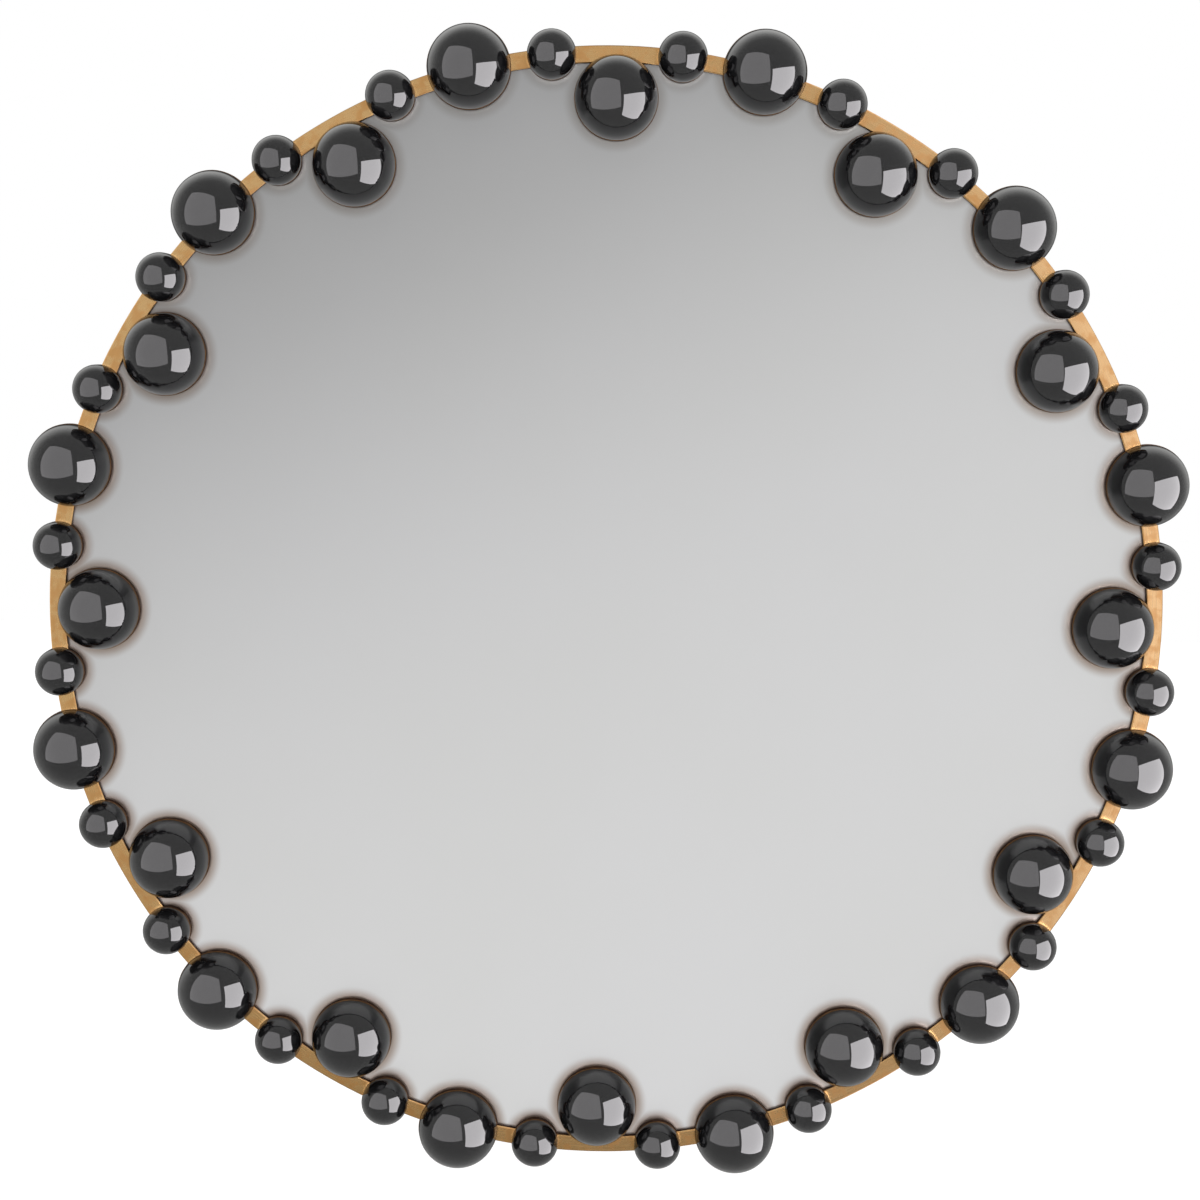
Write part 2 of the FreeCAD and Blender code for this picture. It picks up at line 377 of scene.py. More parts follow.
def plus(tree, first, second, clamp=False):
    return maths(tree, "ADD", first, second, clamp)


def minus(tree, first, second, clamp=False):
    return maths(tree, "SUBTRACT", first, second, clamp)


def times(tree, first, second, clamp=False):
    return maths(tree, "MULTIPLY", first, second, clamp)


def ranged(tree, value, low, high, to_low, to_high, kind="LINEAR"):
    """A value from one range taken to another, and held at its ends."""
    inputs = {"Value": value, "From Min": low, "From Max": high, "To Min": to_low, "To Max": to_high}
    return add_node(tree, "ShaderNodeMapRange", inputs, interpolation_type=kind).outputs["Result"]


def eased(tree, value, low, high, to_low, to_high):
    """As ranged, with a smooth start and end."""
    return ranged(tree, value, low, high, to_low, to_high, "SMOOTHSTEP")


def noise(tree, vector, scale, detail=2.0, roughness=0.5, distortion=0.0):
    inputs = {
        "Vector": vector, "Scale": scale, "Detail": detail, "Roughness": roughness, "Distortion": distortion,
    }
    return add_node(tree, "ShaderNodeTexNoise", inputs).outputs["Fac"]


def parts_of(tree, vector):
    """The X, Y and Z of a vector."""
    return tuple(add_node(tree, "ShaderNodeSeparateXYZ", {0: vector}).outputs)


def vector_of(tree, x, y, z=0.0):
    return add_node(tree, "ShaderNodeCombineXYZ", {"X": x, "Y": y, "Z": z}).outputs[0]


def opaque(colour):
    """Three numbers as an opaque colour. A socket stays as it is."""
    return colour if isinstance(colour, bpy.types.NodeSocket) else (*colour, 1.0)


def mixed(tree, share, first, second):
    """Two colours mixed: each is a socket or three numbers."""
    inputs = {0: share, 6: opaque(first), 7: opaque(second)}
    return add_node(tree, "ShaderNodeMix", inputs, data_type="RGBA").outputs[2]


def layered(tree, colour, *layers):
    """A colour with others laid over it in turn. A layer is how much of it covers, and its colour."""
    for share, over in layers:
        colour = mixed(tree, share, colour, over)
    return colour


def toned(colour, *shares):
    """A colour with each channel multiplied by its share."""
    return tuple(channel * share for channel, share in zip(colour, shares))


def once(build):
    """Builds something the first time that it is asked for, and gives the same one after that."""
    made = {}

    def fetch():
        if "it" not in made:
            made["it"] = build()
        return made["it"]

    return fetch


# Surface effects that several materials share


def as_group(name, numbers, outputs):
    """Makes a function into a node group that takes a vector and some numbers.

    The function gets the group and its inputs, and returns a value for each output.
    """

    def decorate(lay_out):
        @once
        def group():
            made = bpy.data.node_groups.new(name, "ShaderNodeTree")
            made.interface.new_socket(name="Vector", in_out="INPUT", socket_type="NodeSocketVector")
            for label, default in numbers.items():
                socket = made.interface.new_socket(name=label, in_out="INPUT", socket_type="NodeSocketFloat")
                socket.default_value = default
            for label in outputs:
                made.interface.new_socket(name=label, in_out="OUTPUT", socket_type="NodeSocketFloat")
            values = lay_out(made, made.nodes.new("NodeGroupInput").outputs)
            add_node(made, "NodeGroupOutput", dict(zip(outputs, values)))
            return made

        return group

    return decorate


def use_group(tree, group, inputs):
    return add_node(tree, "ShaderNodeGroup", inputs, node_tree=group()).outputs


@as_group("Turned grain", {"Line scale": 900.0, "Patch scale": 9.0}, ("Lines", "Patches"))
def turned_grain(group, given):
    """Fine lines that run round the mirror's axis, and large slow patches."""
    waves_per_radian = 14.0
    x, y, z = parts_of(group, given["Vector"])
    radius = maths(group, "SQRT", plus(group, maths(group, "POWER", x, 2.0), maths(group, "POWER", z, 2.0)))
    across = times(group, radius, given["Line scale"])
    depth = times(group, y, given["Line scale"])
    along = times(group, maths(group, "ARCTAN2", x, z), waves_per_radian)
    lines = noise(group, vector_of(group, across, depth, along), 1.0, detail=3.0, roughness=0.6)
    patches = noise(group, given["Vector"], given["Patch scale"], detail=4.0, roughness=0.55)
    return lines, patches


@as_group("Edge wear and crevices", {"Amount": 0.7, "Break scale": 120.0}, ("Wear", "Crevice"))
def edge_wear_and_crevices(group, given):
    """Where handling has brightened an edge, and where a crevice is darkened: the mesh's wear and crevice
    share and noise. On the brass the dark crevices are painted shade.
    """
    share = add_node(group, "ShaderNodeAttribute", attribute_name="wear_and_crevice_share").outputs["Fac"]
    grain = noise(group, given["Vector"], given["Break scale"], detail=3.0)
    broken = times(group, share, eased(group, grain, 0.35, 0.62, 0.0, 1.0))
    depth = ranged(group, grain, 0.2, 0.5, -0.85, -1.0)
    return times(group, broken, given["Amount"], clamp=True), times(group, share, depth, clamp=True)


@as_group("Dust and prints", {"Dust scale": 700.0, "Smear scale": 14.0}, ("Dust", "Smears"))
def dust_and_prints(group, given):
    """Dust that settles on what faces up, and faint smears that hands and cloths leave."""
    _, _, upward = parts_of(group, add_node(group, "ShaderNodeNewGeometry").outputs["Normal"])
    settled = eased(group, upward, 0.2, 1.0, 0.0, 1.0)
    specks = ranged(group, noise(group, given["Vector"], given["Dust scale"]), 0.5, 0.75, 0.0, 1.0)
    smears = noise(group, given["Vector"], given["Smear scale"], detail=6.0, roughness=0.65, distortion=0.9)
    return times(group, settled, specks), eased(group, smears, 0.5, 0.8, 0.0, 1.0)


@as_group("Fibres", {"Scale": 500.0}, ("Tone", "Height"))
def fibres(group, given):
    """Short matted fibres that lie three ways, for board and felt."""
    lay, stretch, cloud_scale, cloud_share = 0.2, (1.0, 1.0, 4.0), 6.0, 0.3
    height = 0.0
    for turn in (lay, lay + math.pi / 3, lay - math.pi / 3):
        inputs = {"Vector": given["Vector"], "Rotation": (0, turn, 0), "Scale": stretch}
        laid = add_node(group, "ShaderNodeMapping", inputs, vector_type="TEXTURE").outputs[0]
        strand = noise(group, laid, given["Scale"], detail=3.0, distortion=0.8)
        height = maths(group, "MAXIMUM", height, strand)
    cloud = noise(group, given["Vector"], cloud_scale, detail=3.0)
    return plus(group, times(group, height, 1 - cloud_share), times(group, cloud, cloud_share)), height


# Materials


def as_material(lay_out):
    """Makes a function into a material of the same name.

    The function gets the material's tree, its Principled shader and the object coordinates.
    """

    @once
    def material():
        made = bpy.data.materials.new(lay_out.__name__)
        made.use_nodes = True
        tree = made.node_tree
        place = add_node(tree, "ShaderNodeTexCoord").outputs["Object"]
        lay_out(tree, tree.nodes["Principled BSDF"], place)
        return made

    return material


def set_surface(tree, shader, colour, rough, height=None, depth=0.0, strength=1.0):
    """Links a colour, a roughness and a bump with its depth in metres."""
    tree.links.new(colour, shader.inputs["Base Color"])
    tree.links.new(rough, shader.inputs["Roughness"])
    if height is not None:
        bump = add_node(tree, "ShaderNodeBump", {"Height": height, "Distance": depth, "Strength": strength})
        tree.links.new(bump.outputs["Normal"], shader.inputs["Normal"])


def set_flecks(tree, shader, fleck, colours, roughness, depth):
    """Links a colour, a roughness and a bump that all follow one noise."""
    set_surface(tree, shader, mixed(tree, fleck, *colours), ranged(tree, fleck, *roughness), fleck, depth)


@as_material
def satin_brass(tree, shader, place):
    worn, dust = (0.93, 0.62, 0.28), (0.5, 0.47, 0.42)
    look = bpy.context.scene.mirror_band
    grain = use_group(tree, turned_grain, {"Vector": place, "Line scale": 1400.0, "Patch scale": 8.0})
    used = use_group(tree, edge_wear_and_crevices, {"Vector": place, "Amount": 0.6})
    film = use_group(tree, dust_and_prints, {"Vector": place})
    colour = layered(
        tree, look.colour,
        (eased(tree, grain["Patches"], 0.42, 0.75, 0.0, 0.4), look.tarnish),
        (ranged(tree, grain["Lines"], 0.35, 0.75, 0.0, 0.25), look.tarnish),
        (used["Wear"], worn),
        (times(tree, film["Dust"], 0.15), dust),
        # Painted shade: the crevices, the cup rims and the cups' backs and skirts darken to dark brown
        (used["Crevice"], look.crevice_shade),
    )
    rough = ranged(tree, grain["Lines"], 0.3, 0.7, look.roughness - 0.05, look.roughness + 0.05)
    rough = plus(tree, rough, times(tree, film["Smears"], 0.06))
    rough = plus(tree, rough, times(tree, used["Crevice"], 0.2))
    rough = minus(tree, rough, times(tree, used["Wear"], 0.12), clamp=True)
    shader.inputs["Metallic"].default_value = 1.0
    set_surface(tree, shader, colour, rough, grain["Lines"], 0.02 * MM, 0.5)


@as_material
def black_glass(tree, shader, place):
    dust, ground_edge = (0.30, 0.28, 0.25), (0.10, 0.10, 0.10)
    look = bpy.context.scene.mirror_balls
    film = use_group(tree, dust_and_prints, {"Vector": place, "Smear scale": 30.0})
    wear = use_group(tree, edge_wear_and_crevices, {"Vector": place, "Amount": 0.3, "Break scale": 300.0})["Wear"]
    layers = ((times(tree, film["Dust"], 0.01), dust), (times(tree, wear, 0.2), ground_edge))
    colour = layered(tree, look.colour, *layers)
    rough = plus(tree, times(tree, film["Smears"], 0.05), 0.015)
    rough = plus(tree, rough, times(tree, wear, 0.25), clamp=True)
    shader.inputs["IOR"].default_value = 1.5
    set_surface(tree, shader, colour, rough, noise(tree, place, 45.0, detail=1.0), look.ripple)


def cup_shadow(tree, place, reach):
    """How strongly the silver is painted with shadow round the cups: 1 at the nearest cup, 0 at the end of
    its reach.

    The crown repeats, and each repeat is its own mirror image, so three cups stand for all of them.
    """
    x, _, z = parts_of(tree, place)
    from_middle = add_node(tree, "ShaderNodeVectorMath", {0: vector_of(tree, x, z)}, operation="LENGTH")
    distance = from_middle.outputs["Value"]
    folded = maths(tree, "PINGPONG", maths(tree, "ARCTAN2", x, z), BALL_STEP / 2)
    across = times(tree, distance, maths(tree, "SINE", folded))
    upward = times(tree, distance, maths(tree, "COSINE", folded))
    spot = vector_of(tree, across, upward)
    small_circle, small_turn = small_places()
    nearest = None
    for radius, circle, turn in (
        (big_cup_radius(), INNER_CIRCLE, 0.0),
        (big_cup_radius(), OUTER_CIRCLE, BALL_STEP / 2),
        (small_cup_radius(), small_circle, small_turn),
    ):
        middle = (circle * math.sin(turn), circle * math.cos(turn), 0.0)
        to_cup = add_node(tree, "ShaderNodeVectorMath", {0: spot, 1: middle}, operation="DISTANCE")
        gap = minus(tree, to_cup.outputs["Value"], radius)
        nearest = gap if nearest is None else maths(tree, "MINIMUM", nearest, gap)
    return eased(tree, nearest, 0.0, reach, 1.0, 0.0)


@as_material
def silvered_glass(tree, shader, place):
    # The painted shadow round the cups is strong below the lower of these two heights on the pane, and weak
    # above the upper
    low, high = 0.1, 0.45
    strength_below, strength_above = 0.72, 0.45
    look = bpy.context.scene.mirror_pane
    film = use_group(tree, dust_and_prints, {"Vector": place, "Smear scale": 7.0})
    aged = toned(look.tint, 0.985, 0.985, 0.975)
    age = eased(tree, noise(tree, place, 3.0, detail=3.0), 0.35, 0.7, 0.0, 1.0)
    _, _, height = parts_of(tree, place)
    # Painted shadow round each cup: the silver darkens towards a brown shadow colour, and thickness is the
    # shadow's strength at this height
    shadow_colour = mixed(tree, ranged(tree, height, low, high, 0.0, 1.0), look.halo_shadow, look.upper_halo_shadow)
    thickness = ranged(tree, height, low, high, strength_below, strength_above)
    halo_shadow = times(tree, cup_shadow(tree, place, look.halo_shadow_reach), thickness)
    colour = layered(tree, look.tint, (age, aged), (halo_shadow, shadow_colour))
    rough = plus(tree, times(tree, film["Smears"], 0.015), look.roughness)
    shader.inputs["Metallic"].default_value = 1.0
    shader.inputs["Coat Weight"].default_value = 0.5
    shader.inputs["Coat Roughness"].default_value = 0.04
    set_surface(tree, shader, colour, rough)


@as_material
def ground_glass_edge(tree, shader, place):
    green_greys, roughness = ((0.20, 0.34, 0.29), (0.33, 0.46, 0.41)), (0.2, 0.8, 0.35, 0.6)
    set_flecks(tree, shader, noise(tree, place, 900.0), green_greys, roughness, 0.05 * MM)


@as_material
def mirror_back_paint(tree, shader, place):
    blue_greys, roughness = ((0.075, 0.085, 0.095), (0.115, 0.125, 0.135)), (0.3, 0.7, 0.45, 0.6)
    set_flecks(tree, shader, noise(tree, place, 160.0, detail=4.0), blue_greys, roughness, 0.04 * MM)


@as_material
def fibreboard(tree, shader, place):
    base = bpy.context.scene.mirror_back.board_colour
    light, dark = toned(base, 1.3, 1.3, 1.35), toned(base, 0.6, 0.58, 0.55)
    fibre = use_group(tree, fibres, {"Vector": place, "Scale": 1500.0})
    film = use_group(tree, dust_and_prints, {"Vector": place, "Smear scale": 5.0})
    wear = use_group(tree, edge_wear_and_crevices, {"Vector": place, "Amount": 0.8, "Break scale": 60.0})["Wear"]
    lighter = ranged(tree, fibre["Tone"], 0.42, 0.7, 0.0, 1.0)
    smeared = times(tree, film["Smears"], 0.25)
    colour = layered(tree, dark, (lighter, light), (smeared, base), (wear, light))
    rough = ranged(tree, fibre["Tone"], 0.3, 0.7, 0.7, 0.88)
    set_surface(tree, shader, colour, rough, fibre["Height"], 0.12 * MM, 0.7)


@as_material
def nickel_steel(tree, shader, place):
    # The second colour is the near black that the floors of the screws' recesses darken to
    worn, recess_dark = (0.82, 0.80, 0.77), (0.06, 0.055, 0.05)
    base = bpy.context.scene.mirror_back.steel_colour
    film = use_group(tree, dust_and_prints, {"Vector": place, "Smear scale": 60.0})
    used = use_group(tree, edge_wear_and_crevices, {"Vector": place, "Amount": 0.5})
    drawn = add_node(tree, "ShaderNodeMapping", {"Vector": place, "Scale": (1.0, 1.0, 0.06)}).outputs[0]
    lines = noise(tree, drawn, 1800.0, detail=3.0)
    dull = toned(base, 0.8, 0.79, 0.78)
    colour = layered(tree, base, (lines, dull), (used["Wear"], worn), (used["Crevice"], recess_dark))
    rough = plus(tree, ranged(tree, lines, 0.3, 0.7, 0.24, 0.36), times(tree, film["Smears"], 0.15))
    shader.inputs["Metallic"].default_value = 1.0
    set_surface(tree, shader, colour, rough, lines, 0.01 * MM, 0.6)


@as_material
def bumper_rubber(tree, shader, place):
    dust = (0.16, 0.155, 0.15)
    look = bpy.context.scene.mirror_back
    film = use_group(tree, dust_and_prints, {"Vector": place, "Dust scale": 1200.0})
    grit = noise(tree, place, 1500.0)
    colour = mixed(tree, times(tree, film["Dust"], 0.5), look.rubber_colour, dust)
    set_surface(tree, shader, colour, ranged(tree, grit, 0.3, 0.7, 0.5, 0.68), grit, 0.04 * MM)


@as_material
def grey_felt(tree, shader, place):
    dark, light = (0.10, 0.10, 0.105), (0.24, 0.24, 0.245)
    fibre = use_group(tree, fibres, {"Vector": place, "Scale": 900.0})
    rough = ranged(tree, fibre["Tone"], 0.3, 0.7, 0.85, 0.98)
    shader.inputs["Sheen Weight"].default_value = 0.3
    set_surface(tree, shader, mixed(tree, fibre["Tone"], dark, light), rough, fibre["Height"], 0.4 * MM)


# Pieces


def band_section(sizes):
    """The band's L section as corners. Its inner wall, against the pane, is darkened with painted shade."""
    outer = BAND_HIGH.x
    sight = outer - sizes.face_width
    rebate = outer - sizes.wall_thickness
    eased_edge = sizes.edge_radius / 5
    return [
        (sight, BAND_LOW.y + 1.3 * sizes.edge_radius, 0, DARK),
        (sight, BAND_LOW.y, sizes.edge_radius),
        (outer, BAND_LOW.y, sizes.edge_radius),
        (outer, BAND_HIGH.y, eased_edge),
        (rebate, BAND_HIGH.y, eased_edge),
        (rebate, PANE_LOW.y, 0),
        (sight, PANE_LOW.y, 0, DARK),
    ]


class MIRROR_OT_band(bpy.types.Operator):
    """Build the rolled brass band"""

    bl_idname = "ball_mirror.add_band"
    bl_label = "Brass Band"

    def execute(self, context):
        ring = turned(rounded_profile(band_section(context.scene.mirror_band)), BAND_STEPS)
        keep_flats_flat(shaped_piece("brass_band", ring, satin_brass(), "frame_band"))
        return {"FINISHED"}


class MIRROR_OT_pane(bpy.types.Operator):
    """Build the silvered pane: mirror in front, ground edge, painted back"""

    bl_idname = "ball_mirror.add_pane"
    bl_label = "Silvered Pane"

    def execute(self, context):
        arris = context.scene.mirror_pane.arris
        radius, flat = PANE_HIGH.x, 0.9
        outline = [(0.0, PANE_LOW.y), (radius / 2, PANE_LOW.y), (radius - arris, PANE_LOW.y)]
        outline += [(radius, PANE_LOW.y + arris), (radius, PANE_HIGH.y)]
        outline += [(radius / 2, PANE_HIGH.y), (0.0, PANE_HIGH.y)]
        profile = [(across, y, PLAIN) for across, y in outline]
        disc = turned(profile, SHEET_STEPS, closed=False)
        pane = shaped_piece("silvered_pane", disc, silvered_glass(), "mirror_glass")
        pane.data.materials.append(ground_glass_edge())
        pane.data.materials.append(mirror_back_paint())
        for face in pane.data.polygons:
            if face.normal.y > flat:
                face.material_index = 2
            elif face.normal.y > -flat:
                face.material_index = 1
        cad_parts["cushion_sheet"].material_slots[0].material = grey_felt()
        return {"FINISHED"}


def small_places():
    """Circle radius and turn of the small balls, from the box of the first pair."""
    radius = bpy.context.scene.mirror_balls.small_radius
    across, upward = SMALL_HIGH.x - radius, SMALL_HIGH.z - radius
    return math.hypot(across, upward), math.atan2(across, upward)


def small_lift():
    """How far the small balls' centres stand in front of their flat backs."""
    return SMALL_HIGH.y - SMALL_LOW.y - bpy.context.scene.mirror_balls.small_radius


def ball_back_radius(radius, lift):
    return math.sqrt(radius ** 2 - lift ** 2)


def big_cup_radius():
    return BIG_RADIUS + bpy.context.scene.mirror_cups.rim_width


def small_cup_radius():
    flat = ball_back_radius(bpy.context.scene.mirror_balls.small_radius, small_lift())
    return flat + bpy.context.scene.mirror_cups.rim_width


def skirt_arcs(radius, circle, sight, outer):
    """Turns, about a cup's own centre, between which its skirt is clear of the band.

    Zero turn points away from the middle of the mirror. The distance of a point of the skirt from the
    mirror's axis falls steadily from turn 0 to half a turn, so each edge of the band gives one turn.
    """

    def turn_at(distance):
        cosine = (distance ** 2 - circle ** 2 - radius ** 2) / (2 * circle * radius)
        return math.acos(max(-1.0, min(1.0, cosine)))

    arcs = []
    inner_turn, outer_turn = turn_at(sight), turn_at(outer)
    if inner_turn < math.pi:
        arcs.append((inner_turn, math.tau - inner_turn))
    if outer_turn > 0:
        arcs.append((-outer_turn, outer_turn))
    return arcs


def cup_shape(sizes, band, radius, circle, angle):
    """A pressed cup: a round plate with a rolled edge, and a skirt notched by the band."""
    centre = on_circle(circle, angle)
    front, back = CUPS_LOW.y, CUPS_HIGH.y
    plate_back = front + sizes.plate_thickness
    inside = radius - sizes.skirt_thickness
    rim = sizes.rim_radius
    # The rim, the plate's edge and back and the skirt get negative shares: painted shade on the brass
    plate = [(0.0, front, PLAIN)]
    for k in range(CUP_RIM_POINTS):
        turn = k * math.pi / 2 / (CUP_RIM_POINTS - 1)
        plate.append((radius - rim + rim * math.sin(turn), front + rim - rim * math.cos(turn), CUP_RIM_SHADE))
    plate += [(radius, front + 1.5 * rim, DARK), (radius, plate_back, DARK)]
    plate.append((0.0, plate_back, PLATE_BACK_SHADE))
    parts = [turned(plate, CUP_STEPS, centre=centre, closed=False)]
    skirt = [(inside, plate_back, SKIRT_INSIDE_SHADE), (radius, plate_back, DARK)]
    skirt += [(radius, back, DARK), (inside, back, SKIRT_INSIDE_SHADE)]
    sight = BAND_HIGH.x - band.face_width - sizes.band_gap
    outer = BAND_HIGH.x + sizes.band_gap
    for start, stop in skirt_arcs(radius - sizes.skirt_thickness / 2, circle, sight, outer):
        steps = max(SKIRT_LEAST_STEPS, round((stop - start) / SKIRT_STEP_ANGLE))
        parts.append(turned(skirt, steps, start + angle, stop + angle, centre))
    return joined(parts)


def cup_sets():
    """The name, replaced node, radius, circle and turns of each kind of cup."""
    small_circle, small_turn = small_places()
    inner_turns = [BALL_STEP * k for k in range(BALLS_PER_KIND)]
    outer_turns = [BALL_STEP * (k + 0.5) for k in range(BALLS_PER_KIND)]
    small_turns = [turn + side * small_turn for turn in inner_turns for side in (-1, 1)]
    return [
        ("inner_cup_set", "inner_cups", big_cup_radius(), INNER_CIRCLE, inner_turns),
        ("outer_cup_set", "outer_cups", big_cup_radius(), OUTER_CIRCLE, outer_turns),
        ("small_cup_set", "small_cups", small_cup_radius(), small_circle, small_turns),
    ]


class MIRROR_OT_cups(bpy.types.Operator):
    """Build the 48 pressed brass cups that carry the balls"""

    bl_idname = "ball_mirror.add_cups"
    bl_label = "Brass Cups"

    def execute(self, context):
        sizes, band = context.scene.mirror_cups, context.scene.mirror_band
        for name, node, radius, circle, turns in cup_sets():
            shape = joined([cup_shape(sizes, band, radius, circle, turn) for turn in turns])
            keep_flats_flat(shaped_piece(name, shape, satin_brass(), node))
        return {"FINISHED"}


def ball_shape(radius, lift, arris, centre, back):
    """A glass ball with a flat ground back: its pole faces the room."""
    middle = back - lift
    profile = [(0.0, middle - radius, PLAIN)]
    start = -math.pi / 2
    stop = math.asin(lift / radius) - arris / radius
    for k in range(1, BALL_RINGS + 1):
        rise = start + (stop - start) * k / BALL_RINGS
        profile.append((radius * math.cos(rise), middle + radius * math.sin(rise), PLAIN))
    profile += [(ball_back_radius(radius, lift) - arris, back, BRIGHT), (0.0, back, PLAIN)]
    return turned(profile, BALL_STEPS, centre=centre, closed=False)


class MIRROR_OT_balls(bpy.types.Operator):
    """Build the 24 large and 24 small black glass balls"""

    bl_idname = "ball_mirror.add_balls"
    bl_label = "Glass Balls"

    def execute(self, context):
        sizes = context.scene.mirror_balls
        big = (BIG_RADIUS, 0.0, sizes.arris)
        small = (sizes.small_radius, small_lift(), sizes.arris)
        small_circle, small_turn = small_places()
        for k in range(BALLS_PER_KIND):
            turn = BALL_STEP * k
            inner = ball_shape(*big, on_circle(INNER_CIRCLE, turn), INNER_HIGH.y)
            outer = ball_shape(*big, on_circle(OUTER_CIRCLE, turn + BALL_STEP / 2), INNER_HIGH.y)
            places = [on_circle(small_circle, turn + side * small_turn) for side in (-1, 1)]
            pair = joined([ball_shape(*small, place, SMALL_HIGH.y) for place in places])
            number = "_" + str(k + 1).zfill(2)
            for name, node, shape in (
                ("inner_glass", "inner_ball", inner),
                ("outer_glass", "outer_ball", outer),
                ("small_glass_pair", "small_ball_pair", pair),
            ):
                shaped_piece(name + number, shape, black_glass(), node + number)
        return {"FINISHED"}


def bumper_profile(sizes):
    """A stepped rubber foot with a rounded tip and a dimple in the middle of its face."""
    back, tip = BUMPERS_LOW.y, BUMPERS_HIGH.y
    edge, dimple = sizes.bumper_tip / 6, sizes.bumper_tip / 3
    return rounded_profile([
        (0.0, back, 0),
        (sizes.bumper_base, back, 0),
        (sizes.bumper_base * 0.97, back + edge, edge / 4),
        (sizes.bumper_tip * 1.12, back + 2 * edge, edge / 2),
        (sizes.bumper_tip, tip, edge),
        (dimple * 1.2, tip, 0),
        (dimple, tip - edge / 2, 0),
        (0.0, tip - edge / 2, 0),
    ])


class MIRROR_OT_board(bpy.types.Operator):
    """Build the fibreboard back and its four rubber bumpers"""

    bl_idname = "ball_mirror.add_board"
    bl_label = "Board and Bumpers"

    def execute(self, context):
        sizes = context.scene.mirror_back
        radius, arris = BOARD_HIGH.x, sizes.board_arris
        profile = [
            (0.0, BOARD_LOW.y, PLAIN),
            (radius, BOARD_LOW.y, PLAIN),
            (radius, BOARD_HIGH.y - arris, BOARD_EDGE_WEAR),
            (radius - arris, BOARD_HIGH.y, BOARD_EDGE_WEAR),
            (radius - 3 * arris, BOARD_HIGH.y, PLAIN),
            (radius / 2, BOARD_HIGH.y, PLAIN),
            (0.0, BOARD_HIGH.y, PLAIN),
        ]
        disc = turned(profile, SHEET_STEPS, closed=False)
        shaped_piece("back_board", disc, fibreboard(), "backing_board")
        # The bumpers stand on the mirror's diagonals
        bumper_count, circle = 4, (BUMPERS_HIGH.x - sizes.bumper_base) * math.sqrt(2)
        centres = [on_circle(circle, math.tau * (k + 0.5) / bumper_count) for k in range(bumper_count)]
        foot = bumper_profile(sizes)
        feet = joined([turned(foot, BUMPER_STEPS, centre=centre, closed=False) for centre in centres])
        keep_flats_flat(shaped_piece("rubber_bumpers", feet, bumper_rubber(), "wall_bumpers"))
        return {"FINISHED"}


def clip_outline(sizes):
    """Corners of a clip, as (across, distance from the mirror's axis), and its hole's distance."""
    half = sizes.clip_width / 2
    outer = BAND_HIGH.x - sizes.clip_margin
    rebate = BAND_HIGH.x - bpy.context.scene.mirror_band.wall_thickness
    corner = sizes.clip_corner
    round_centre = rebate - sizes.clip_reach + corner
    quarter = [k * math.pi / 2 / (CLIP_CORNER_POINTS - 1) for k in range(CLIP_CORNER_POINTS)]
    points = [(-half, outer), (half, outer)]
    for side, turns in ((1, quarter), (-1, reversed(quarter))):
        for turn in turns:
            across = side * (half - corner + corner * math.cos(turn))
            points.append((across, round_centre - corner * math.sin(turn)))
    return points, (rebate + BAND_HIGH.x) / 2


def stamped_plate(name, outline, hole, hole_radius, thickness, edge):
    """A flat plate with a round hole and softly rounded edges, in its own X and Y, centred in depth."""
    curve = bpy.data.curves.new(name, "CURVE")
    curve.dimensions = "2D"
    curve.fill_mode = "BOTH"
    curve.extrude = thickness / 2 - edge
    curve.bevel_depth = edge
    curve.bevel_resolution = 2
    curve.offset = -edge
    turns = [math.tau * k / HOLE_STEPS for k in range(HOLE_STEPS)]
    rim = [(hole_radius * math.cos(turn), hole + hole_radius * math.sin(turn)) for turn in turns]
    for loop in (outline, rim):
        spline = curve.splines.new("POLY")
        spline.points.add(len(loop) - 1)
        for point, (across, upward) in zip(spline.points, loop):
            point.co = (across, upward, 0.0, 1.0)
        spline.use_cyclic_u = True
    mesh = evaluated_mesh(linked_object(name, curve))
    bpy.data.curves.remove(curve)
    return mesh


def screw_body(name, shank_radius, length, head_radius, head_height):
    """A pan-head screw with a thread and no recess."""
    pitch, root, dome = shank_radius * 0.45, shank_radius * 0.82, head_height * 0.45
    profile = [(0.0, -length, PLAIN)]
    for k in range(int((length - shank_radius) / pitch)):
        start = -length + shank_radius + k * pitch
        profile += [(root, start, PLAIN), (shank_radius, start + pitch / 2, PLAIN)]
    profile += [(shank_radius, 0.0, PLAIN), (head_radius, 0.0, PLAIN)]
    profile.append((head_radius, head_height - dome, SCREW_SIDE_WEAR))
    for k in range(1, SCREW_DOME_RINGS):
        turn = k * math.pi / 2 / SCREW_DOME_RINGS
        rise = head_height - dome + dome * math.sin(turn)
        profile.append((head_radius * math.cos(turn), rise, SCREW_DOME_WEAR))
    profile.append((0.0, head_height, PLAIN))
    return linked_object(name, mesh_from(name, *turned(profile, SCREW_STEPS, closed=False)))


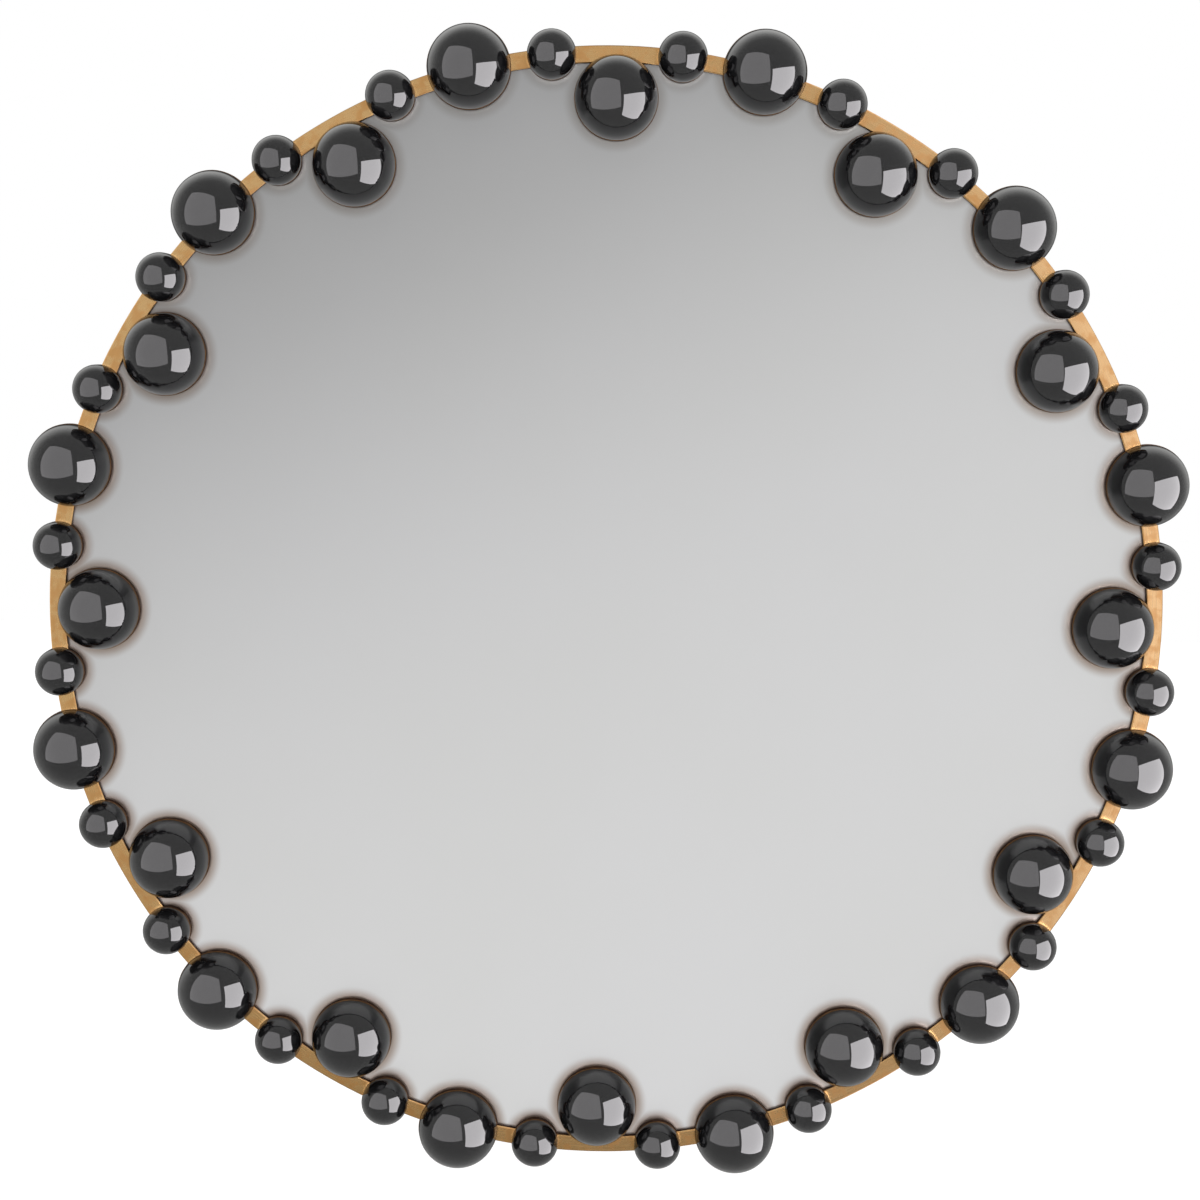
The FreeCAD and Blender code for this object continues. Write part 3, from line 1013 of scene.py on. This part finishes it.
def screw_mesh(name, shank_radius, length, head_radius, head_height):
    """A pan-head screw with a cross recess: it points along -Y and its head seats at y = 0."""
    body = screw_body(name, shank_radius, length, head_radius, head_height)
    half, reach, depth = head_radius * 0.13, head_radius * 0.58, head_height * 0.55
    floor, above = head_height - depth, head_height * 1.2
    floor_taper, top_taper = 0.55, 1.1
    square = ((-1, -1), (1, -1), (1, 1), (-1, 1))
    walls = [(0, 1, 2, 3), (4, 5, 6, 7), (0, 1, 5, 4), (1, 2, 6, 5), (2, 3, 7, 6), (3, 0, 4, 7)]
    arms = []
    for across, along in ((half, reach), (reach, half)):
        corners = []
        for y, taper in ((floor, floor_taper), (above, top_taper)):
            corners += [(side * across * taper, y, end * along * taper) for side, end in square]
        arm = linked_object(name + "_arm", mesh_from(name + "_arm", corners, walls))
        arms.append(arm)
        cut = body.modifiers.new("Recess", "BOOLEAN")
        cut.operation = "DIFFERENCE"
        cut.solver = "EXACT"
        cut.object = arm
    mesh = evaluated_mesh(body)
    for arm in arms:
        bpy.data.objects.remove(arm)
    # The floor of each cross recess gets the darkest crevice share, so the steel is darker there
    for point, wear in zip(mesh.vertices, mesh.attributes["wear_and_crevice_share"].data):
        if abs(point.co.y - floor) < depth / 10:
            wear.value = DARK
    return mesh


def set_steel(name, shape, places, node):
    """Sets copies of a steel shape in their places as one piece."""
    new_piece(name, copies_of(shape, name, places), nickel_steel(), node)


class MIRROR_OT_clips(bpy.types.Operator):
    """Build the retaining clips and their screws"""

    bl_idname = "ball_mirror.add_clips"
    bl_label = "Clips and Screws"

    def execute(self, context):
        sizes = context.scene.mirror_back
        outline, hole = clip_outline(sizes)
        thickness = CLIPS_HIGH.y - CLIPS_LOW.y
        plate = stamped_plate("clip", outline, hole, sizes.clip_hole, thickness, sizes.clip_edge)
        middle = Matrix.Translation((0, (CLIPS_LOW.y + CLIPS_HIGH.y) / 2, 0))
        upright = middle @ Matrix.Rotation(math.pi / 2, 4, "X")
        turns = [math.tau * (k + 0.5) / sizes.clip_count for k in range(sizes.clip_count)]
        places = [Matrix.Rotation(turn, 4, "Y") @ upright for turn in turns]
        set_steel("steel_clips", plate, places, "retaining_clips")
        height = CLIP_SCREWS_HIGH.y - CLIPS_HIGH.y
        length = CLIPS_HIGH.y - CLIP_SCREWS_LOW.y
        screw = screw_mesh("clip_screw", sizes.clip_screw_radius, length, sizes.clip_head_radius, height)
        places = []
        for turn in turns:
            seat = Matrix.Translation(on_circle(hole, turn, CLIPS_HIGH.y))
            places.append(seat @ Matrix.Rotation(3 * turn, 4, "Y"))
        set_steel("clip_screw_set", screw, places, "clip_screws")
        return {"FINISHED"}


class MIRROR_OT_hangers(bpy.types.Operator):
    """Finish the strap hangers and their rings, and build their screws"""

    bl_idname = "ball_mirror.add_hangers"
    bl_label = "Hangers"

    def execute(self, context):
        sizes = context.scene.mirror_back
        upper_turn, lower_turn = 0.4, 1.1
        head = sizes.hanger_head_radius
        seat = BOARD_HIGH.y + sizes.strap_thickness
        for side in ("left", "right"):
            for kind in ("strap", "ring"):
                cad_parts["hanger_" + kind + "_" + side].material_slots[0].material = nickel_steel()
            node = "hanger_screws_" + side
            low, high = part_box(node)
            length = seat - low.y
            screw = screw_mesh(
                "hanger_screw", sizes.hanger_screw_radius, length, head, sizes.hanger_head_height
            )
            across = (low.x + high.x) / 2
            places = []
            for z, turn in ((high.z - head, upper_turn), (low.z + head, lower_turn)):
                places.append(Matrix.Translation((across, seat, z)) @ Matrix.Rotation(turn, 4, "Y"))
            set_steel("hanger_screw_set_" + side, screw, places, node)
        return {"FINISHED"}


# Studio

WHITE = (1.0, 1.0, 1.0, 1.0)

# A light reaches only the pieces whose names start with one of these
BALL_PIECES = ("inner_glass", "outer_glass", "small_glass")
BRASS_PIECES = ("brass_band", "inner_cup", "outer_cup", "small_cup")
PANE_PIECES = ("silvered_pane",)
STEEL_PIECES = ("steel", "clip_screw", "hanger")
MATT_PIECES = ("back_board", "rubber")

DOME_SPREAD = math.radians(178)
DOME_RINGS, DOME_STEPS = 24, 48
BALL_DOME, BRASS_DOME, PANE_DOME, STEEL_DOME = 7.0, 8.0, 9.0, 10.0

# Name, place, size and power of each soft lamp
SOFT_LAMPS = (("front_key", (1.6, -2.6, 2.2), 1.6, 45.0), ("back_fill", (-1.4, 2.6, 1.6), 1.8, 40.0))

# Corners, strength and colour of the two panels that every ball shows
GREY_PANEL = [(-4.63, -0.96, -1.61), (0.80, -3.16, -1.34), (0.53, -3.31, 3.32), (-5.27, -1.99, 5.12)]
WHITE_PANEL = [
    (0.71, -1.68, -1.75), (1.93, -0.52, -1.96), (3.59, 0.16, -2.76), (2.99, -0.34, 1.05),
    (0.63, -1.77, 0.55),
]
GREY_STRENGTH, WHITE_STRENGTH = 2.4, 9.9
PANEL_COLOUR = (1.0, 0.97, 1.0, 1.0)


def light_group(name, prefixes):
    """A collection of the pieces that a lamp may light."""
    group = bpy.data.collections.new(name)
    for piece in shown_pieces():
        if piece.name.startswith(prefixes):
            group.objects.link(piece)
    return group


def glow_material(name, glow):
    """A clear surface that glows by direction, and lets everything pass."""
    material = bpy.data.materials.new(name)
    material.use_nodes = True
    tree = material.node_tree
    tree.nodes.clear()
    colour, strength = glow(tree, add_node(tree, "ShaderNodeTexCoord").outputs["Object"])
    light = add_node(tree, "ShaderNodeEmission", {"Color": colour, "Strength": strength}).outputs[0]
    clear = add_node(tree, "ShaderNodeBsdfTransparent").outputs[0]
    both = add_node(tree, "ShaderNodeAddShader", {0: light, 1: clear}).outputs[0]
    add_node(tree, "ShaderNodeOutputMaterial", {"Surface": both})
    return material


def add_lamp_mesh(name, vertices, faces, glow, receivers, sampling):
    """A glowing surface that only its receivers see. Its sampling is how the render aims light at it."""
    mesh = bpy.data.meshes.new(name)
    mesh.from_pydata(vertices, [], faces)
    material = glow_material(name, glow)
    material.cycles.emission_sampling = sampling
    mesh.materials.append(material)
    lamp = linked_object(name, mesh)
    lamp.visible_camera = False
    lamp.visible_shadow = False
    lamp.light_linking.receiver_collection = receivers
    lamp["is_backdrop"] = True


def open_dome(radius):
    """A sphere round the mirror that is open straight behind it."""
    vertices, faces = [(0.0, -radius, 0.0)], []
    for ring in range(1, DOME_RINGS + 1):
        tilt = DOME_SPREAD * ring / DOME_RINGS
        width = radius * math.sin(tilt)
        for step in range(DOME_STEPS):
            turn = math.tau * step / DOME_STEPS
            vertices.append((width * math.cos(turn), -radius * math.cos(tilt), width * math.sin(turn)))
    for step in range(DOME_STEPS):
        faces.append((0, 1 + step, 1 + (step + 1) % DOME_STEPS))
    for ring in range(DOME_RINGS - 1):
        here, there = 1 + ring * DOME_STEPS, 1 + (ring + 1) * DOME_STEPS
        for step in range(DOME_STEPS):
            after = (step + 1) % DOME_STEPS
            faces.append((here + step, there + step, there + after, here + after))
    return vertices, faces


def directions(tree, place):
    """The direction of a point of a dome from the mirror's centre: right, back and up."""
    unit = add_node(tree, "ShaderNodeVectorMath", {0: place}, operation="NORMALIZE").outputs["Vector"]
    return parts_of(tree, unit)


def pane_glow(tree, place):
    """What the pane faces: an even room, a dark screen above and to the left, and a white ceiling."""
    to_right, to_below, edge, softness = 0.429, 0.903, 0.074, 0.040
    darkness, darkest, room = 0.377, 0.39, 0.556
    right, _, up = directions(tree, place)
    along = minus(tree, times(tree, right, to_right), times(tree, up, to_below))
    past_edge = maths(tree, "DIVIDE", plus(tree, along, edge), -softness)
    screen = times(tree, maths(tree, "EXPONENT", maths(tree, "MINIMUM", past_edge, darkest)), darkness)
    ceiling = eased(tree, up, 0.55, 0.75, 0.0, 1.1)
    total = plus(tree, minus(tree, room, screen), ceiling)
    return WHITE, maths(tree, "MAXIMUM", total, 0.0)


def brass_glow(tree, place):
    """What the brass faces all round.

    Walls that brighten to the left, a cool window on the right, dark below and overhead, and an even
    room behind the mirror.
    """
    cool, warm, amber, sky = (1.0, 1.04, 1.12), (1.0, 0.96, 0.88), (1.0, 0.8, 0.3), (1.0, 1.02, 1.35)
    window_strength, least = 0.82, 0.02
    right, back, up = directions(tree, place)
    window = eased(tree, right, 0.15, 0.29, 0.0, 1.0)
    window = times(tree, window, eased(tree, right, 0.45, 0.65, 1.0, 0.3))
    near_wall = eased(tree, right, -0.12, 0.12, 0.36, 0.17)
    walls = plus(tree, near_wall, eased(tree, right, -0.35, -0.80, 0.0, 0.20))
    below = eased(tree, up, -0.19, -0.42, 0.0, 0.34)
    overhead = eased(tree, up, 0.35, 0.85, 0.0, 0.25)
    bright = plus(tree, times(tree, window, window_strength), walls)
    total = minus(tree, bright, plus(tree, below, overhead))
    total = maths(tree, "MAXIMUM", total, eased(tree, back, 0.55, 0.85, 0.0, 0.6))
    to_warm = ranged(tree, right, -0.12, 0.0, 0.0, 1.0)
    to_amber = ranged(tree, up, -0.19, -0.42, 0.0, 1.0)
    colour = layered(tree, cool, (to_warm, warm), (to_amber, amber), (window, sky))
    return colour, maths(tree, "MAXIMUM", total, least)


def ball_glow(tree, place):
    """What the balls face: a white room, brighter high up behind the mirror, dark straight behind it."""
    room = 0.56
    _, back, up = directions(tree, place)
    lift = ranged(tree, up, -0.2, 0.8, -0.1, 1.05)
    beside = plus(tree, times(tree, eased(tree, back, 0.0, 0.6, 0.0, 1.0), lift), room)
    return (1.0, 1.0, 0.98, 1.0), times(tree, beside, eased(tree, back, 0.74, 0.90, 1.0, 0.03))


def steel_glow(tree, place):
    """What the steel on the back faces: a white room that is brighter overhead."""
    _, _, up = directions(tree, place)
    return (1.0, 0.99, 0.97, 1.0), eased(tree, up, -0.7, 0.8, 0.22, 0.9)


def panel_glow(strength):
    """The even glow of a panel."""

    def glow(tree, place):
        return PANEL_COLOUR, strength

    return glow


def studio_world(scene):
    """White to the eye and to matt surfaces, and a dim grey room to glossy ones."""
    world = bpy.data.worlds.new("white_studio")
    world.use_nodes = True
    tree = world.node_tree
    tree.nodes.clear()
    path = add_node(tree, "ShaderNodeLightPath").outputs
    _, back, _ = parts_of(tree, add_node(tree, "ShaderNodeTexCoord").outputs["Generated"])
    dim = eased(tree, back, 0.6, 0.9, 0.22, 0.04)
    room = add_node(tree, "ShaderNodeBackground", {"Color": WHITE, "Strength": dim}).outputs[0]
    white = add_node(tree, "ShaderNodeBackground", {"Color": WHITE, "Strength": 1.0}).outputs[0]
    mix = add_node(tree, "ShaderNodeMixShader", {0: path["Is Glossy Ray"], 1: white, 2: room}).outputs[0]
    add_node(tree, "ShaderNodeOutputWorld", {"Surface": mix})
    scene.world = world


@as_material
def pale_floor(tree, shader, place):
    colour = mixed(tree, noise(tree, place, 2.0), (0.93, 0.93, 0.93), (0.96, 0.96, 0.96))
    tree.links.new(colour, shader.inputs["Base Color"])
    shader.inputs["Roughness"].default_value = 0.9
    shader.inputs["Emission Color"].default_value = WHITE
    shader.inputs["Emission Strength"].default_value = 0.2


def add_floor(sizes):
    """A plain pale floor below the mirror."""
    steps, radius = 96, sizes.floor_radius
    level = CAD_BOX[0].z - sizes.floor_drop
    turns = [math.tau * k / steps for k in range(steps)]
    rim = [(radius * math.cos(turn), radius * math.sin(turn), level) for turn in turns]
    mesh = bpy.data.meshes.new("studio_floor")
    mesh.from_pydata(rim, [], [tuple(range(steps))])
    mesh.materials.append(pale_floor())
    floor = linked_object("studio_floor", mesh)
    floor.visible_glossy = False
    floor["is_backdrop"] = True


def add_camera(sizes):
    camera = bpy.data.cameras.new("camera")
    camera.lens = sizes.lens
    camera.sensor_width = 36.0
    camera.shift_y = sizes.shift
    holder = linked_object("camera", camera)
    turn = Matrix.Rotation(sizes.camera_yaw, 4, "Z")
    tilt = Matrix.Rotation(math.pi / 2 + sizes.camera_pitch, 4, "X")
    roll = Matrix.Rotation(sizes.camera_roll, 4, "Z")
    holder.matrix_world = Matrix.Translation(sizes.camera_place) @ (turn @ tilt) @ roll
    bpy.context.scene.camera = holder


def add_soft_lamps():
    """One lamp in front and one behind, for the matt pieces and the steel of the back."""
    for name, place, size, power in SOFT_LAMPS:
        lamp = bpy.data.lights.new(name, "AREA")
        lamp.size = size
        lamp.energy = power
        holder = linked_object(name, lamp)
        holder.location = place
        holder.rotation_euler = (-Vector(place)).to_track_quat("-Z", "Y").to_euler()
        holder.visible_glossy = False
        holder.light_linking.receiver_collection = light_group(name + "_pieces", MATT_PIECES + STEEL_PIECES)


class MIRROR_OT_studio(bpy.types.Operator):
    """Set the floor, the soft lights and the camera"""

    bl_idname = "ball_mirror.add_studio"
    bl_label = "Studio"

    def execute(self, context):
        scene = context.scene
        scene.view_settings.view_transform = "Standard"
        studio_world(scene)
        add_floor(scene.mirror_studio)
        add_camera(scene.mirror_studio)
        add_soft_lamps()
        balls = light_group("ball_lights", BALL_PIECES)
        for name, radius, glow, receivers in (
            ("ball_dome", BALL_DOME, ball_glow, balls),
            ("brass_dome", BRASS_DOME, brass_glow, light_group("brass_lights", BRASS_PIECES)),
            ("pane_dome", PANE_DOME, pane_glow, light_group("pane_lights", PANE_PIECES)),
            ("steel_dome", STEEL_DOME, steel_glow, light_group("steel_lights", STEEL_PIECES)),
        ):
            add_lamp_mesh(name, *open_dome(radius), glow, receivers, "NONE")
        for name, corners, strength in (
            ("grey_panel", GREY_PANEL, GREY_STRENGTH),
            ("white_panel", WHITE_PANEL, WHITE_STRENGTH),
        ):
            face = [tuple(range(len(corners)))]
            add_lamp_mesh(name, corners, face, panel_glow(strength), balls, "AUTO")
        return {"FINISHED"}


class MIRROR_PT_pieces(bpy.types.Panel):
    """Lists the mirror's pieces"""

    bl_idname = "MIRROR_PT_pieces"
    bl_label = "Ball Crown Mirror"
    bl_space_type = "VIEW_3D"
    bl_region_type = "UI"
    bl_category = "Mirror"

    def draw(self, context):
        for operator in PIECE_OPERATORS:
            self.layout.operator(operator.bl_idname)


PIECE_OPERATORS = (
    MIRROR_OT_band,
    MIRROR_OT_pane,
    MIRROR_OT_cups,
    MIRROR_OT_balls,
    MIRROR_OT_board,
    MIRROR_OT_clips,
    MIRROR_OT_hangers,
    MIRROR_OT_studio,
)
SETTINGS = {
    "mirror_band": BandSettings,
    "mirror_pane": PaneSettings,
    "mirror_cups": CupSettings,
    "mirror_balls": BallSettings,
    "mirror_back": BackSettings,
    "mirror_studio": StudioSettings,
}


def register():
    for name, group in SETTINGS.items():
        bpy.utils.register_class(group)
        setattr(bpy.types.Scene, name, PointerProperty(type=group))
    for cls in PIECE_OPERATORS + (MIRROR_PT_pieces,):
        bpy.utils.register_class(cls)


def unregister():
    for cls in reversed(PIECE_OPERATORS + (MIRROR_PT_pieces,)):
        bpy.utils.unregister_class(cls)
    for name, group in reversed(SETTINGS.items()):
        delattr(bpy.types.Scene, name)
        bpy.utils.unregister_class(group)


def main():
    register()
    for name in ("band", "pane", "cups", "balls", "board", "clips", "hangers", "studio"):
        getattr(bpy.ops.ball_mirror, "add_" + name)()


if __name__ == "__main__":
    main()
